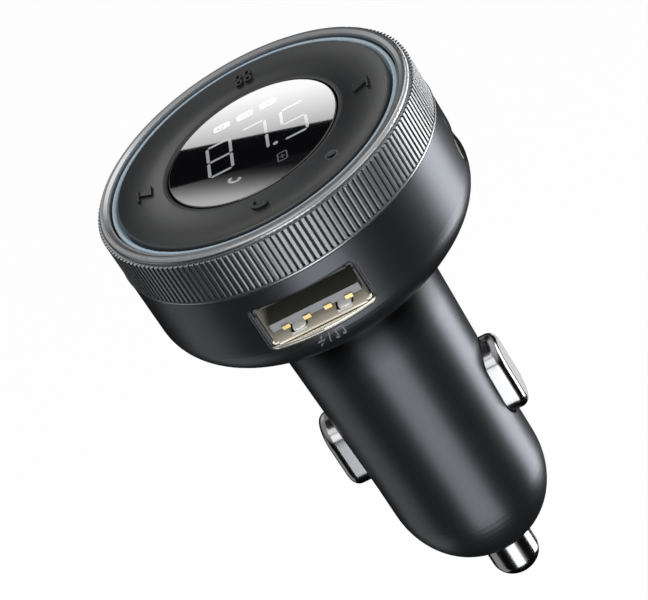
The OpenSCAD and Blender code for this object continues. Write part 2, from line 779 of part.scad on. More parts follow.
// Contact strips under the tongue, each with its tip turned up over the tongue's front edge
module usb_front_pins() color([0.85, 0.68, 0.32]) facing(-90) translate([0, port_z, 0])
    for (share = pin_a_shares)
        translate([share * usb_a_w - pin_a_w / 2, -tongue_a_low - pin_a_t, usb_a_front - tongue_a_in]) {
            translate([0, 0, -pin_a_long]) cube([pin_a_w, pin_a_t, pin_a_long + pin_a_t]);
            cube([pin_a_w, pin_a_t + pin_a_lap, pin_a_t]);
        }

module usb_side_shell() color([0.8, 0.81, 0.83]) facing(side_port_turn) translate([0, usb_c_z, usb_c_back])
    difference() {
        linear_extrude(usb_c_len) stadium(usb_c_w, usb_c_h);
        translate([0, 0, usb_c_wall]) linear_extrude(usb_c_len)
            stadium(usb_c_w - 2 * usb_c_wall, usb_c_h - 2 * usb_c_wall);
    }

module usb_side_tongue() color([0.06, 0.06, 0.065])
    facing(side_port_turn) translate([0, usb_c_z, usb_c_back + usb_c_wall]) {
        linear_extrude(tongue_c_base)
            stadium(usb_c_w - 2 * usb_c_wall - 2 * fit, usb_c_h - 2 * usb_c_wall - 2 * fit);
        translate([-tongue_c_w / 2, -tongue_c_t / 2, 0])
            cube([tongue_c_w, tongue_c_t, usb_c_len - usb_c_wall - tongue_c_in]);
    }

module usb_side_pins() color([0.85, 0.68, 0.32]) facing(side_port_turn) translate([0, usb_c_z, 0])
    for (i = [0:pin_c_count - 1]) for (side = [0, 1])
        translate([(i - (pin_c_count - 1) / 2) * pin_c_pitch - pin_c_w / 2,
                side ? tongue_c_t / 2 : -tongue_c_t / 2 - pin_c_t,
                usb_c_front - tongue_c_in - pin_c_in - pin_c_long])
            cube([pin_c_w, pin_c_t, pin_c_long]);

module power_board() color([0.03, 0.045, 0.04]) translate([-pcb_t / 2, -power_half, board_z])
    cube([pcb_t, 2 * power_half, power_top - board_z]);

// Board-to-board plug, between the power board's face and the main board's underside
module board_plug() color([0.9, 0.89, 0.84])
    translate([pcb_t / 2, -plug_w / 2, main_z - plug_h]) cube([plug_t, plug_w, plug_h]);

// Components on the power board stand out along X, in the space above the side contacts
module on_board(side, drop) {
    translate([side * pcb_t / 2, 0, power_top - drop]) rotate([0, side * 90, 0]) children();
}

module inductor() color([0.3, 0.3, 0.32]) on_board(1, inductor_drop) {
    linear_extrude(inductor_t) difference() {
        square(inductor_size, center = true);
        circle(r = inductor_core_r + slip);
    }
    cylinder(r = inductor_core_r + slip + fit, h = inductor_t / 4);
    cylinder(r = inductor_core_r, h = inductor_t);
}

module capacitor(r, h) rotate_extrude() polygon([[0, 0], [r, 0], [r, cap_crimp_h],
    [r - cap_crimp, cap_crimp_h + cap_crimp], [r, cap_crimp_h + 2 * cap_crimp], [r, h], [0, h]]);

module capacitors() color([0.66, 0.67, 0.7]) {
    on_board(1, cap_drop) capacitor(cap_r, cap_h);
    on_board(-1, cap_small_drop) capacitor(cap_small_r, cap_small_h);
}

module regulator() color([0.08, 0.08, 0.09]) on_board(-1, regulator_drop)
    translate([-regulator_h / 2, -regulator_w / 2, 0]) cube([regulator_h, regulator_w, regulator_t]);

// Brass cup soldered under the power board, the tip spring's seat
module spring_cup() color([0.8, 0.66, 0.36]) {
    translate([0, 0, cup_z]) cylinder(r = cup_r, h = cup_t);
    tube(cup_r, cup_r - cup_rim, cup_z - cup_rim_h, cup_z + cup_t / 2);
}

module tip_spring() color([0.7, 0.7, 0.72]) coil(tip_coil_r, tip_wire, tip_spring_z, cup_z, tip_curls);

module centre_contact() color([0.82, 0.83, 0.85]) {
    end_z = nose_z - tip_out;
    rotate_extrude() {
        square_h = nose_seat_z - end_z - tip_edge;
        translate([0, end_z + tip_edge]) square([tip_r, square_h + tip_flange_t / 2]);
        translate([0, end_z]) square([tip_r - tip_edge, tip_edge]);
        translate([tip_r - tip_edge, end_z + tip_edge]) intersection() {
            circle(r = tip_edge);
            translate([0, -tip_edge]) square([tip_edge, tip_edge]);
        }
        translate([0, nose_seat_z]) square([tip_r + tip_flange, tip_flange_t]);
        translate([0, nose_seat_z]) square([tip_stem_r, tip_flange_t + tip_stem_h]);
    }
}

module side_spring(turn) {
    rotate([0, 0, turn]) translate([0, 0, shoe_z]) rotate([0, 90, 0])
        coil(shoe_coil_r, shoe_wire, pcb_t / 2, flange_x, shoe_curls);
}

module side_spring_left() color([0.7, 0.7, 0.72]) side_spring(180);
module side_spring_right() color([0.7, 0.7, 0.72]) side_spring(0);

// Half outline of a block whose outer edge is round
module rounded_edge(half, h, r) {
    square([half - r, h]);
    square([half, h - r]);
    translate([half - r, h - r]) circle(r = r);
}

// Round-ended contact shoe with a flange that stops it inside the barrel
module side_contact(turn) facing(turn) translate([0, shoe_z, flange_x]) {
    h = shoe_r - flange_x;
    run = shoe_len - shoe_w;
    linear_extrude(shoe_flange) rotate([0, 0, 90])
        stadium(shoe_len + 2 * shoe_flange, shoe_w + 2 * shoe_flange);
    for (y = [-1, 1]) translate([0, y * run / 2, 0]) rotate_extrude() rounded_edge(shoe_w / 2, h, shoe_edge);
    translate([0, run / 2, 0]) rotate([90, 0, 0]) linear_extrude(run) {
        rounded_edge(shoe_w / 2, h, shoe_edge);
        mirror([1, 0]) rounded_edge(shoe_w / 2, h, shoe_edge);
    }
}

module side_contact_left() color([0.82, 0.83, 0.85]) side_contact(180);
module side_contact_right() color([0.82, 0.83, 0.85]) side_contact(0);

barrel_shell();
barrel_clip();
head_housing();
knurled_ring();
light_ring();
face_frame();
display_lens();
display_module();
control_board();
key_domes();
microphone();
ring_leds();
face_screws();
key_spring();
key_ring();
main_board();
board_screws();
radio_chip();
power_chips();
stack_header();
usb_front_shell();
usb_front_tongue();
usb_front_pins();
usb_side_shell();
usb_side_tongue();
usb_side_pins();
power_board();
board_plug();
inductor();
capacitors();
regulator();
spring_cup();
tip_spring();
centre_contact();
side_spring_left();
side_spring_right();
side_contact_left();
side_contact_right();
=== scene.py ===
import json
import math

import bmesh
import bpy
from mathutils import Matrix, Vector
from mathutils.bvhtree import BVHTree

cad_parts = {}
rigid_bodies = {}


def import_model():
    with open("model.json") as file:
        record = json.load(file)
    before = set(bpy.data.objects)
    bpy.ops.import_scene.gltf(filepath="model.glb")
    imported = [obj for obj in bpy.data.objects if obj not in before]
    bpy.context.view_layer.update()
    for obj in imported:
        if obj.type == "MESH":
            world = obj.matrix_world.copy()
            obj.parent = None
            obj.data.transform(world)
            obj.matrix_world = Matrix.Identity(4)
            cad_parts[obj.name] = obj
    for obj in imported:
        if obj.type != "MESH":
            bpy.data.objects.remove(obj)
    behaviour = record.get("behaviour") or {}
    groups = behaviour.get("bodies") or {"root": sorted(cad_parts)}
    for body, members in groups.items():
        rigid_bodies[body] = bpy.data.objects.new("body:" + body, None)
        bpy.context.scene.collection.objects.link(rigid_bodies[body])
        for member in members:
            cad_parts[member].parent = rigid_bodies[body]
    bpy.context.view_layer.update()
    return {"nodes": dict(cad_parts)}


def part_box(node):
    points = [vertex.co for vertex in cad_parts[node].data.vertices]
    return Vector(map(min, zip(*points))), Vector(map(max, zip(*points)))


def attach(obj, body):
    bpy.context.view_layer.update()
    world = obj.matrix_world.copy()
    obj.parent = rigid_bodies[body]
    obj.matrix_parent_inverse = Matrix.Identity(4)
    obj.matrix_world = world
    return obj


for old in list(bpy.data.objects):
    bpy.data.objects.remove(old)

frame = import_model()
nodes = frame["nodes"]
scene = bpy.context.scene
scene.view_settings.view_transform = "Standard"
MM = 0.001

# Sizes of the part that the finishes and signs follow, in millimetres and degrees
HEAD_R = 21.4
MIC_PLACE_R = 14.5
MIC_TURN = -49
# Height of the lens's upper face, in metres
LENS_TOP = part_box("display_lens")[1].z

# The photograph's camera, fitted to the circles of the head and the barrel. In its own axes, x right,
# y down and z ahead, these are the part's axis, two directions square to it, and the place in
# millimetres of the axis's point at FITTED_HEIGHT
PART_AXIS = Vector((-0.46598738, -0.71544598, -0.5205697))
NEAR = Vector((0.2841104, 0.43620419, -0.85381918))
SIDE = Vector((0.83793618, -0.54576823, 0.0))
FITTED_POINT = Vector((-5.719, -14.373, 354.9))
FITTED_HEIGHT = 48.25
PART_TURN = 12.85
FOCAL_PX = 2950.0
PHOTO_WIDTH_PX = 648.0
SENSOR_MM = 36.0


def photo_camera():
    """The camera of the photograph, placed in the part's axes."""
    turn = math.radians(PART_TURN)
    part_x = math.sin(turn) * NEAR + math.cos(turn) * SIDE
    part_y = math.sin(turn) * SIDE - math.cos(turn) * NEAR
    to_part = Matrix((part_x, part_y, PART_AXIS))
    right, down, ahead = (to_part.col[i].normalized() for i in range(3))
    place = -(to_part @ (FITTED_POINT - FITTED_HEIGHT * PART_AXIS)) * MM
    lens = bpy.data.cameras.new("camera")
    lens.sensor_width = SENSOR_MM
    lens.lens = SENSOR_MM * FOCAL_PX / PHOTO_WIDTH_PX
    lens.clip_start = 0.01
    lens.clip_end = 100.0
    obj = bpy.data.objects.new("camera", lens)
    scene.collection.objects.link(obj)
    obj.matrix_world = Matrix.Translation(place) @ Matrix((right, -down, -ahead)).transposed().to_4x4()
    scene.camera = obj
    return obj


camera = photo_camera()


# Short calls for material nodes

class Net:
    """A node tree. Sizes are in millimetres, and a value is a number or another node's output."""

    def __init__(self, tree):
        self.tree = tree
        self.object_coords = None

    def add(self, kind, **props):
        node = self.tree.nodes.new(kind)
        for name, value in props.items():
            setattr(node, name, value)
        return node

    def feed(self, socket, value):
        """Links an output to the socket, or sets the socket to a number, a vector or a colour."""
        if isinstance(value, bpy.types.NodeSocket):
            self.tree.links.new(value, socket)
        elif socket.type == "RGBA":
            socket.default_value = (*value, 1)
        else:
            socket.default_value = value

    def coords(self):
        """The place in the part's axes, in metres."""
        if self.object_coords is None:
            self.object_coords = self.add("ShaderNodeTexCoord").outputs["Object"]
        return self.object_coords

    def calc(self, operation, first, second):
        node = self.add("ShaderNodeMath", operation=operation)
        self.feed(node.inputs[0], first)
        self.feed(node.inputs[1], second)
        return node.outputs[0]

    def vector(self, operation, first, second=None):
        node = self.add("ShaderNodeVectorMath", operation=operation)
        self.feed(node.inputs[0], first)
        if second is not None:
            self.feed(node.inputs[1], second)
        return node.outputs["Value" if operation in ("LENGTH", "DOT_PRODUCT") else "Vector"]

    def split(self, vector):
        node = self.add("ShaderNodeSeparateXYZ")
        self.feed(node.inputs[0], vector)
        return node.outputs

    def mix(self, share, first, second):
        """The first colour where the share is 0, the second where it is 1."""
        node = self.add("ShaderNodeMix", data_type="RGBA")
        self.feed(node.inputs[0], share)
        self.feed(node.inputs[6], first)
        self.feed(node.inputs[7], second)
        return node.outputs[2]

    def span(self, value, low, high, start=0.0, end=1.0):
        """Goes from low to high while the value goes from start to end."""
        node = self.add("ShaderNodeMapRange")
        for socket, number in zip(node.inputs[0:5], (value, start, end, low, high)):
            self.feed(socket, number)
        return node.outputs[0]

    def above(self, value, level, soft):
        return self.span(value, 0.0, 1.0, level - soft, level + soft)

    def below(self, value, level, soft):
        return self.span(value, 1.0, 0.0, level - soft, level + soft)

    def noise(self, size, detail=3.0, stretch=None):
        """Smooth noise from 0 to 1, in patches of about one size."""
        node = self.add("ShaderNodeTexNoise")
        self.feed(node.inputs["Scale"], 1.0 / (size * MM))
        self.feed(node.inputs["Detail"], detail)
        place = self.coords()
        if stretch:
            mapping = self.add("ShaderNodeMapping")
            self.feed(mapping.inputs["Scale"], stretch)
            self.feed(mapping.inputs["Vector"], place)
            place = mapping.outputs["Vector"]
        self.feed(node.inputs["Vector"], place)
        return node.outputs["Fac"]

    def flakes(self, size):
        """A value of its own, from 0 to 1, for each small cell."""
        cell = self.add("ShaderNodeTexVoronoi")
        self.feed(cell.inputs["Scale"], 1.0 / (size * MM))
        self.feed(cell.inputs["Vector"], self.coords())
        part = self.add("ShaderNodeSeparateColor")
        self.feed(part.inputs[0], cell.outputs["Color"])
        return part.outputs[0]

    def height(self):
        """Height along the part's axis."""
        return self.calc("MULTIPLY", self.split(self.coords())[2], 1000.0)

    def radius(self, x=0.0, y=0.0):
        """Distance from the line through (x, y) that runs along the part's axis."""
        off = self.vector("SUBTRACT", self.coords(), (x * MM, y * MM, 0.0))
        return self.vector("LENGTH", self.vector("MULTIPLY", off, (1000.0, 1000.0, 0.0)))

    def inside(self, low, high, soft=0.03):
        """1 inside a box and 0 outside it. A side that is None is open."""
        places = self.split(self.coords())
        steps = []
        for place, start, end in zip(places, low, high):
            if start is not None:
                steps.append(self.above(place, start * MM, soft * MM))
            if end is not None:
                steps.append(self.below(place, end * MM, soft * MM))
        whole = steps[0]
        for step in steps[1:]:
            whole = self.calc("MULTIPLY", whole, step)
        return whole

    def glow(self, colour, strength):
        """Gives off light of one colour and strength, as the whole surface."""
        light = self.add("ShaderNodeEmission")
        self.feed(light.inputs["Color"], colour)
        self.feed(light.inputs["Strength"], strength)
        self.feed(self.surface(), light.outputs[0])

    def surface(self):
        return self.tree.nodes["Material Output"].inputs["Surface"]


class Finish(Net):
    """A material with one main shader. Its other inputs are given by name, in small letters."""

    def __init__(self, name, base, rough, metal=0.0, **others):
        self.material = bpy.data.materials.new(name)
        self.material.use_nodes = True
        self.material.diffuse_color = (*base, 1)
        super().__init__(self.material.node_tree)
        self.base = base
        self.rough = rough
        self.main = self.tree.nodes["Principled BSDF"]
        self.put("Base Color", base)
        self.put("Roughness", rough)
        self.put("Metallic", metal)
        for key, value in others.items():
            self.put(key.replace("_", " ").title().replace("Ior", "IOR"), value)

    def put(self, name, value):
        self.feed(self.main.inputs[name], value)

    def vary(self, value, spread, rough_spread):
        """Base colour and roughness that drift with a value from 0 to 1."""
        dark = tuple(c * (1 - spread) for c in self.base)
        light = tuple(min(1.0, c * (1 + spread)) for c in self.base)
        self.put("Base Color", self.mix(value, dark, light))
        self.put("Roughness", self.span(value, self.rough - rough_spread, self.rough + rough_spread))

    def rounded_normal(self, edge, flat):
        """Where the surface faces, with small round edges. flat turns it to face away from the axis."""
        bevel = self.add("ShaderNodeBevel", samples=6)
        self.feed(bevel.inputs["Radius"], edge * MM)
        if flat is None:
            return bevel.outputs[0]
        outward = self.vector("NORMALIZE", self.vector("MULTIPLY", self.coords(), (1.0, 1.0, 0.0)))
        lean = self.add("ShaderNodeMix", data_type="VECTOR")
        self.feed(lean.inputs[0], flat)
        self.feed(lean.inputs[4], bevel.outputs[0])
        self.feed(lean.inputs[5], outward)
        return self.vector("NORMALIZE", lean.outputs[1])

    def bump(self, value, depth, strength=1.0, edge=0.08, flat=None):
        """Fine relief, over edges that are rounded a little."""
        node = self.add("ShaderNodeBump")
        self.feed(node.inputs["Strength"], strength)
        self.feed(node.inputs["Distance"], depth * MM)
        self.feed(node.inputs["Height"], value)
        self.feed(node.inputs["Normal"], self.rounded_normal(edge, flat))
        self.put("Normal", node.outputs[0])


# Finishes of the solids

def satin_paint():
    sill_low, sill_high, sill_out_r = (-6.9, -21.6, 39.3), (6.9, -18.6, 39.86), 21.2
    painted_shade_start, painted_shade_end, barrel_r = 24.5, 29.5, 12.25
    nose_start, nose_end = -15.0, -8.0
    finish = Finish("satin_anthracite", (0.075, 0.079, 0.086), 0.34, 0.93)
    drift = finish.noise(6.0, 2.0)
    paint = finish.mix(drift, (0.071, 0.075, 0.082), (0.079, 0.083, 0.090))
    rough = finish.span(drift, 0.325, 0.35)
    # Painted shade: the barrel darkens to near black where it runs up under the head
    shade = finish.span(finish.height(), 0.0, 0.93, painted_shade_start, painted_shade_end)
    shade = finish.calc("MULTIPLY", shade, finish.below(finish.radius(), barrel_r, 0.25))
    paint = finish.mix(shade, paint, (0.004, 0.004, 0.0045))
    # The floor of the front port's opening is bare, pale and polished
    sill = finish.inside(sill_low, sill_high)
    sill = finish.calc("MULTIPLY", sill, finish.below(finish.radius(), sill_out_r, 0.05))
    paint = finish.mix(sill, paint, (0.85, 0.82, 0.74))
    rough = finish.calc("SUBTRACT", rough, finish.calc("MULTIPLY", sill, 0.24))
    # The nose is a little rougher
    rough = finish.calc("ADD", finish.span(finish.height(), 0.07, 0.0, nose_start, nose_end), rough)
    finish.put("Base Color", paint)
    finish.put("Roughness", rough)
    finish.bump(finish.flakes(0.05), 0.0006, finish.span(sill, 0.5, 0.0), 0.3)
    return finish


def knurl_metal():
    rim_foot, lip_top, rib_foot_r, rib_r = 54.07, 48.47, 21.12, 21.3
    finish = Finish("dark_nickel", (0.42, 0.43, 0.44), 0.32, 1.0)
    grain = finish.noise(0.5, stretch=(1.0, 1.0, 0.25))
    # The ribs are dark, with painted shade darker still between them, and the rim and the lip under them
    # are polished
    crown = finish.mix(grain, (0.235, 0.237, 0.242), (0.28, 0.283, 0.29))
    groove_shade = finish.span(finish.radius(), 1.0, 0.0, rib_foot_r, rib_r)
    ribs = finish.mix(groove_shade, crown, (0.02, 0.02, 0.022))
    bright = finish.mix(grain, (0.40, 0.41, 0.42), (0.46, 0.465, 0.475))
    height = finish.height()
    rim, lip = finish.above(height, rim_foot, 0.05), finish.below(height, lip_top, 0.05)
    polished = finish.calc("MAXIMUM", rim, lip)
    finish.put("Base Color", finish.mix(polished, ribs, bright))
    smoother = finish.calc("MULTIPLY", polished, 0.08)
    finish.put("Roughness", finish.calc("SUBTRACT", finish.span(grain, 0.35, 0.41), smoother))
    finish.bump(grain, 0.0004, 0.3, 0.05, finish.span(polished, 0.72, 0.0))
    return finish


def key_plastic():
    hole_highlight_r, hole_highlight_z = 0.84, 53.75
    finish = Finish("soft_touch_black", (0.0135, 0.0145, 0.0155), 0.31, ior=1.8)
    drift = finish.noise(4.0)
    plain = finish.mix(drift, (0.0125, 0.0135, 0.0145), (0.0145, 0.0155, 0.0168))
    # A painted highlight: a light ring round the microphone's hole, where its edge catches the light
    turn = math.radians(MIC_TURN)
    off = finish.radius(MIC_PLACE_R * math.cos(turn), MIC_PLACE_R * math.sin(turn))
    edge = finish.below(off, hole_highlight_r, 0.06)
    edge = finish.calc("MULTIPLY", edge, finish.above(finish.height(), hole_highlight_z, 0.15))
    finish.put("Base Color", finish.mix(edge, plain, (0.09, 0.09, 0.092)))
    finish.put("Roughness", finish.span(drift, 0.29, 0.33))
    finish.bump(finish.noise(0.07, 2.0), 0.003, 0.3)
    return finish


def lens_gloss():
    finish = Finish("lens_gloss", (0.004, 0.004, 0.005), 0.03, ior=1.9)
    finish.put("Roughness", finish.span(finish.noise(2.0), 0.008, 0.015))
    finish.bump(finish.noise(9.0, 1.0), 0.0003, 0.1)
    return finish


def light_guide():
    finish = Finish("light_guide", (0.32, 0.395, 0.45), 0.16)
    finish.put("Emission Color", (0.62, 0.8, 0.95))
    finish.put("Emission Strength", 0.06)
    finish.vary(finish.noise(3.0, 2.0), 0.05, 0.03)
    return finish


def chrome():
    finish = Finish("polished_chrome", (0.37, 0.37, 0.378), 0.18, 1.0)
    finish.vary(finish.noise(1.2, 4.0), 0.03, 0.02)
    finish.bump(finish.noise(0.25, stretch=(1.0, 1.0, 0.15)), 0.0006, 0.25)
    return finish


def tinned_steel():
    finish = Finish("tinned_steel", (0.76, 0.73, 0.64), 0.38, 0.3)
    finish.vary(finish.noise(0.9, 4.0), 0.06, 0.05)
    finish.bump(finish.noise(0.12), 0.001, 0.3)
    return finish


def port_steel():
    """The front connector's shell. Painted shade darkens its front edge, and the spring leaves in its
    floor are bright.
    """
    low, high = ([c * 1000 for c in corner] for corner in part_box("usb_front_shell"))
    leaf_x, leaf_half, leaf_start, leaf_end, shaded_edge_depth, floor_h = 3.0, 0.95, 0.3, 4.0, 0.45, 0.7
    finish = Finish("port_steel", (0.76, 0.73, 0.64), 0.38, 0.3)
    drift = finish.noise(0.9, 4.0)
    sheet = finish.mix(drift, (0.66, 0.62, 0.52), (0.74, 0.70, 0.59))
    leaves = []
    for x in (-leaf_x, leaf_x):
        leaf_low = (x - leaf_half, low[1] + leaf_start, low[2] - 1)
        leaf_high = (x + leaf_half, low[1] + leaf_end, low[2] + 1)
        leaves.append(finish.inside(leaf_low, leaf_high, 0.08))
        sheet = finish.mix(leaves[-1], sheet, (0.98, 0.98, 0.97))
    # Painted shade: the shell's front edge above its floor is near black
    shaded_edge = finish.inside((None, low[1] - 1, low[2] + floor_h), (None, low[1] + shaded_edge_depth, high[2] + 1))
    finish.put("Base Color", finish.mix(shaded_edge, sheet, (0.05, 0.05, 0.05)))
    finish.put("Metallic", finish.span(finish.calc("MAXIMUM", *leaves), 0.3, 0.0))
    finish.put("Roughness", finish.span(drift, 0.33, 0.43))
    finish.bump(finish.noise(0.12), 0.001, 0.3)
    return finish


def gold():
    finish = Finish("gold_plate", (0.66, 0.51, 0.23), 0.24, 1.0)
    finish.vary(finish.noise(0.5), 0.07, 0.05)
    finish.bump(finish.noise(0.1), 0.0008, 0.3)
    return finish


def spring_steel():
    finish = Finish("spring_steel", (0.5, 0.5, 0.51), 0.3, 1.0)
    finish.vary(finish.noise(0.4), 0.08, 0.06)
    finish.bump(finish.noise(0.06, 2.0), 0.001, 0.3)
    return finish


def brass():
    finish = Finish("brass", (0.62, 0.47, 0.2), 0.3, 1.0)
    finish.vary(finish.noise(0.8, 4.0), 0.1, 0.06)
    finish.bump(finish.noise(0.15), 0.001, 0.3)
    return finish


def solder_mask():
    finish = Finish("solder_mask", (0.010, 0.014, 0.013), 0.35)
    weave = finish.add("ShaderNodeTexWave", wave_type="BANDS")
    finish.feed(weave.inputs["Scale"], 900.0)
    finish.feed(weave.inputs["Distortion"], 1.5)
    finish.feed(weave.inputs["Vector"], finish.coords())
    finish.vary(weave.outputs["Fac"], 0.12, 0.04)
    finish.bump(weave.outputs["Fac"], 0.003, 0.4)
    return finish


def tongue_plastic():
    """Grey at the front end, and black with painted shade on the top that runs back into the port."""
    finish = Finish("tongue_grey", (0.17, 0.175, 0.185), 0.42)
    upward = finish.split(finish.add("ShaderNodeNewGeometry").outputs["Normal"])[2]
    drift = finish.noise(1.5, 4.0)
    grey = finish.mix(drift, (0.155, 0.16, 0.17), (0.185, 0.19, 0.2))
    # Painted shade: faces that turn upwards, under the port's roof, are near black
    finish.put("Base Color", finish.mix(finish.above(upward, 0.65, 0.15), grey, (0.035, 0.035, 0.031)))
    finish.put("Roughness", finish.span(drift, 0.38, 0.46))
    finish.bump(finish.noise(0.09), 0.002, 0.4)
    return finish


def moulded(name, base, rough, spread=0.06):
    finish = Finish(name, base, rough)
    finish.vary(finish.noise(1.5, 4.0), spread, 0.05)
    finish.bump(finish.noise(0.09), 0.002, 0.4)
    return finish


def metal_can():
    finish = Finish("aluminium_can", (0.6, 0.61, 0.63), 0.33, 1.0)
    finish.vary(finish.noise(0.7), 0.06, 0.05)
    finish.bump(finish.noise(0.2, stretch=(0.3, 0.3, 1.0)), 0.001, 0.3)
    return finish


CHROME_NODES = ("centre_contact", "side_contact_left", "side_contact_right")
key_finish = key_plastic()
WEAR = (
    (satin_paint(), ("barrel_shell", "head_housing")),
    (knurl_metal(), ("knurled_ring",)),
    (key_finish, ("key_ring",)),
    (lens_gloss(), ("display_lens",)),
    (light_guide(), ("light_ring",)),
    (chrome(), CHROME_NODES),
    (tinned_steel(), ("face_screws", "board_screws", "usb_side_shell")),
    (gold(), ("usb_front_pins", "usb_side_pins")),
    (spring_steel(), ("barrel_clip", "key_domes", "key_spring", "tip_spring", "side_spring_left",
                      "side_spring_right")),
    (brass(), ("spring_cup",)),
    (solder_mask(), ("control_board", "main_board", "power_board")),
    (moulded("matte_black", (0.02, 0.02, 0.022), 0.55),
     ("face_frame", "display_module", "radio_chip", "power_chips", "stack_header", "regulator")),
    (tongue_plastic(), ("usb_front_tongue", "usb_side_tongue")),
    (port_steel(), ("usb_front_shell",)),
    (moulded("white_plastic", (0.72, 0.7, 0.66), 0.45, 0.03), ("ring_leds", "board_plug")),
    (moulded("ferrite", (0.06, 0.06, 0.065), 0.7), ("inductor",)),
    (metal_can(), ("microphone", "capacitors")),
)
for finish, names in WEAR:
    for name in names:
        nodes[name].data.materials.clear()
        nodes[name].data.materials.append(finish.material)


# Outlines of the signs, in millimetres: each is a list of polygons

def stroke(points, width, closed=False):
    """A line of quads of one width along the points."""
    pts = [Vector(p) for p in points]
    n = len(pts)
    left, right = [], []
    for i, p in enumerate(pts):
        ways = []
        if i or closed:
            ways.append((p - pts[i - 1]).normalized())
        if i < n - 1 or closed:
            ways.append((pts[(i + 1) % n] - p).normalized())
        mean = sum(ways, Vector((0, 0))).normalized()
        side = Vector((-mean.y, mean.x))
        # A corner reaches further out than a straight run, but a sharp one is kept short
        grow = 1.0 / max(0.4, side.dot(Vector((-ways[0].y, ways[0].x))))
        left.append(p + side * width / 2 * grow)
        right.append(p - side * width / 2 * grow)
    last = n if closed else n - 1
    return [[left[i], right[i], right[(i + 1) % n], left[(i + 1) % n]] for i in range(last)]


def arc(x, y, r, start, end, steps=20):
    turns = [math.radians(start + (end - start) * i / steps) for i in range(steps + 1)]
    return [(x + r * math.cos(turn), y + r * math.sin(turn)) for turn in turns]


def ring(x, y, r, width, steps=24):
    return stroke(arc(x, y, r, 0, 360, steps)[:-1], width, closed=True)


def disc(x, y, r, steps=24):
    return [[Vector(p) for p in arc(x, y, r, 0, 360, steps)[:-1]]]


def rounded_box(x, y, w, h, r):
    points = []
    for across, up, start in ((1, 1, 0), (-1, 1, 90), (-1, -1, 180), (1, -1, 270)):
        points += arc(x + across * (w / 2 - r), y + up * (h / 2 - r), r, start, start + 90, 5)
    return points


def moved(polys, dx, dy, scale=1.0):
    return [[Vector((p.x * scale + dx, p.y * scale + dy)) for p in poly] for poly in polys]


def segments(which, w, h, t, gap):
    """A seven-segment figure about (0, 0)."""
    x, y = w / 2, h / 2
    lines = {
        "a": ((-x, y), (x, y)), "b": ((x, y), (x, 0)), "c": ((x, 0), (x, -y)),
        "d": ((-x, -y), (x, -y)), "e": ((-x, -y), (-x, 0)), "f": ((-x, 0), (-x, y)),
        "g": ((-x, 0), (x, 0)),
    }
    polys = []
    for letter in which:
        a, b = (Vector(p) for p in lines[letter])
        along = (b - a).normalized()
        side = Vector((-along.y, along.x)) * t / 2
        a, b = a + along * gap, b - along * gap
        tip = along * t / 2
        polys.append([a, a + tip - side, b - tip - side, b, b - tip + side, a + tip + side])
    return polys


def handset(x, y, size):
    """A telephone handset: a bowed grip from the earpiece at the upper left to the mouthpiece."""
    polys = stroke(arc(0, 0, 1.25, 182, 300, 16), 0.5)
    for pad_x, pad_y, turn in ((-1.05, 0.15, 0), (0.52, -0.9, 118)):
        c, s = math.cos(math.radians(turn)), math.sin(math.radians(turn))
        pad = rounded_box(0.0, 0.0, 0.7, 0.5, 0.12)
        polys.append([Vector((pad_x + c * p[0] - s * p[1], pad_y + s * p[0] + c * p[1])) for p in pad])
    return moved(polys, x, y, size)


# Signs laid on the solids

def flat_mesh(polys, edge):
    """The polygons as one flat mesh, cut up until no edge is much longer than a length."""
    mesh = bmesh.new()
    for poly in polys:
        area = sum(a.x * b.y - b.x * a.y for a, b in zip(poly, poly[1:] + poly[:1]))
        points = poly if area > 0 else poly[::-1]
        mesh.faces.new([mesh.verts.new((p.x, p.y, 0)) for p in points])
    bmesh.ops.triangulate(mesh, faces=[face for face in mesh.faces if len(face.verts) > 4])
    for _ in range(6):
        too_long = [line for line in mesh.edges if line.calc_length() > edge]
        if not too_long:
            break
        bmesh.ops.subdivide_edges(mesh, edges=too_long, cuts=1)
    bmesh.ops.remove_doubles(mesh, verts=mesh.verts, dist=1e-5)
    return mesh


def laid(name, polys, place, thick, finish, body, edge=0.45, side=None):
    """Polygons laid on a surface as one thin piece, with a finish of its own on the faces towards -Y
    where side is given. place maps (x, y, depth) to a point in metres."""
    solid = flat_mesh(polys, edge)
    made = bmesh.ops.extrude_face_region(solid, geom=list(solid.faces))
    outer = {item for item in made["geom"] if isinstance(item, bmesh.types.BMVert)}
    for vert in solid.verts:
        vert.co = place(vert.co.x, vert.co.y, 0.0 if vert in outer else thick)
    bmesh.ops.recalc_face_normals(solid, faces=solid.faces)
    mesh = bpy.data.meshes.new(name)
    solid.to_mesh(mesh)
    solid.free()
    mesh.materials.append(finish.material)
    if side:
        mesh.materials.append(side.material)
        for face in mesh.polygons:
            face.material_index = 1 if face.normal.y < -0.3 else 0
    obj = bpy.data.objects.new(name, mesh)
    scene.collection.objects.link(obj)
    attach(obj, body)
    return obj


def surface_of(node):
    mesh = nodes[node].data
    mesh.calc_loop_triangles()
    verts = [vert.co.copy() for vert in mesh.vertices]
    return BVHTree.FromPolygons(verts, [tuple(face.vertices) for face in mesh.loop_triangles])


def on_top(node, lift):
    """Places points on a node's upper side, seen from above."""
    surface = surface_of(node)
    start_z = 0.08

    def place(x, y, depth):
        hit = surface.ray_cast(Vector((x * MM, y * MM, start_z)), Vector((0, 0, -1)))[0]
        return Vector((x * MM, y * MM, hit.z + (lift - depth) * MM))
    return place


def on_wall(node, turn, height, lift=0.012):
    """Places points on a node's outside: x runs round it, y up, from a turn and a height."""
    surface = surface_of(node)
    start_r = 0.04

    def place(x, y, depth):
        around = math.radians(turn) + x / HEAD_R
        outward = Vector((math.sin(around), -math.cos(around), 0))
        start = outward * start_r + Vector((0, 0, (height + y) * MM))
        hit, normal = surface.ray_cast(start, -outward)[:2]
        if normal.dot(outward) < 0:
            normal = -normal
        return hit + normal * (lift - depth) * MM
    return place


def on_lens(lift):
    """Places points just over the lens."""
    def place(x, y, depth):
        return Vector((x * MM, y * MM, LENS_TOP + (lift - depth) * MM))
    return place


